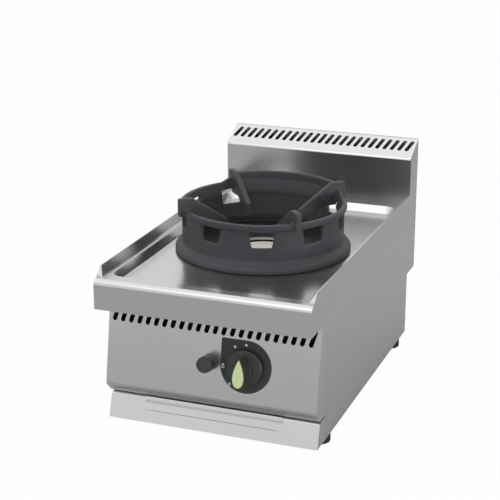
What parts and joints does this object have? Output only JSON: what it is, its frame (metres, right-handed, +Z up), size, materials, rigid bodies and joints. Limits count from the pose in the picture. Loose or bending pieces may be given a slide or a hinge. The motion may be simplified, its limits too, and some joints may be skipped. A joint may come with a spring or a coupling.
{
  "type": "wok burner",
  "caption": "Counter-top gas wok burner: pressed steel worktop with a cast wok ring, front gas tap with knob, spark button, pull-out drip tray and slotted rear flue.",
  "frame": {"origin": "centre of the footprint, on the surface that the feet stand on", "axes": "+X to the cook's right, +Y to the back where the flue and gas inlet are, +Z up"},
  "size_m": [0.4, 0.7, 0.424],
  "materials": {
    "stainless_steel": "brushed",
    "plated_steel": "satin zinc plating",
    "cast_iron": "rough cast, black enamelled",
    "burner_enamel": "ivory enamel",
    "brass": "machined",
    "copper_tube": "drawn tube",
    "black_plastic": "fine moulded",
    "dial_print": "satin black plate",
    "green_insert": "gloss pale green",
    "ceramic": "glazed white ceramic",
    "lead_sleeve": "silicone sleeve",
    "foot_rubber": "matt moulded"
  },
  "bodies": {
    "casing": {"worktop": "stainless_steel", "side_panel_left": "stainless_steel", "side_panel_right": "stainless_steel", "back_panel": "stainless_steel", "control_panel": "stainless_steel", "flue_front": "stainless_steel", "flue_back": "stainless_steel", "base_plate": "plated_steel", "front_rail": "plated_steel", "heat_shield": "plated_steel", "tray_runner_left": "plated_steel", "tray_runner_right": "plated_steel", "flue_baffle": "plated_steel", "burner_bridge": "plated_steel", "burner_bolts": "plated_steel", "tap_bracket": "plated_steel", "foot_nuts": "plated_steel", "casing_screws": "plated_steel", "flue_screws": "plated_steel", "pilot_burner": "plated_steel", "mixing_tube": "plated_steel", "air_shutter": "plated_steel", "main_pipe": "plated_steel", "tap_spring": "plated_steel", "button_spring": "plated_steel", "burner_pot": "cast_iron", "burner_crown": "brass", "injector": "brass", "injector_holder": "brass", "gas_tap": "brass", "gas_inlet": "brass", "feed_pipe": "copper_tube", "pilot_pipe": "copper_tube", "thermocouple": "copper_tube", "button_housing": "black_plastic", "dial_plate": "dial_print", "spark_electrode": "ceramic", "spark_lead": "lead_sleeve", "foot_front_left": "foot_rubber", "foot_front_right": "foot_rubber", "foot_back_left": "foot_rubber", "foot_back_right": "foot_rubber"},
    "tray": {"tray_front": "stainless_steel", "drip_tray": "stainless_steel"},
    "wok_support": {"wok_ring": "cast_iron"},
    "burner_lid": {"burner_cap": "burner_enamel"},
    "tap_push": {"tap_collar": "brass"},
    "knob_unit": {"knob": "black_plastic", "knob_insert": "green_insert", "tap_spindle": "plated_steel"},
    "igniter_button": {"spark_button": "black_plastic"}
  },
  "joints": [
    {"name": "tray_slide", "type": "slide", "parent": "casing", "child": "tray", "axis": [0, -1, 0], "range_m": [0, 0.3]},
    {"name": "ring_lift", "type": "slide", "parent": "casing", "child": "wok_support", "axis": [0, 0, 1], "range_m": [0, 0.15]},
    {"name": "cap_lift", "type": "slide", "parent": "casing", "child": "burner_lid", "axis": [0, 0, 1], "range_m": [0, 0.1]},
    {"name": "knob_push", "type": "slide", "parent": "casing", "child": "tap_push", "axis": [0, 0.985, -0.1724], "range_m": [0, 0.003], "stiffness_N_per_m": 800, "springref_m": -0.003, "deforming": ["tap_spring"]},
    {"name": "knob_turn", "type": "hinge", "parent": "tap_push", "child": "knob_unit", "pos_m": [0.0662, -0.30291, 0.15586], "axis": [0, -0.985, 0.1724], "range_deg": [0, 140]},
    {"name": "button_push", "type": "slide", "parent": "casing", "child": "igniter_button", "axis": [0, 0.985, -0.1724], "range_m": [0, 0.004], "stiffness_N_per_m": 400, "springref_m": -0.002, "deforming": ["button_spring"]}
  ]
}
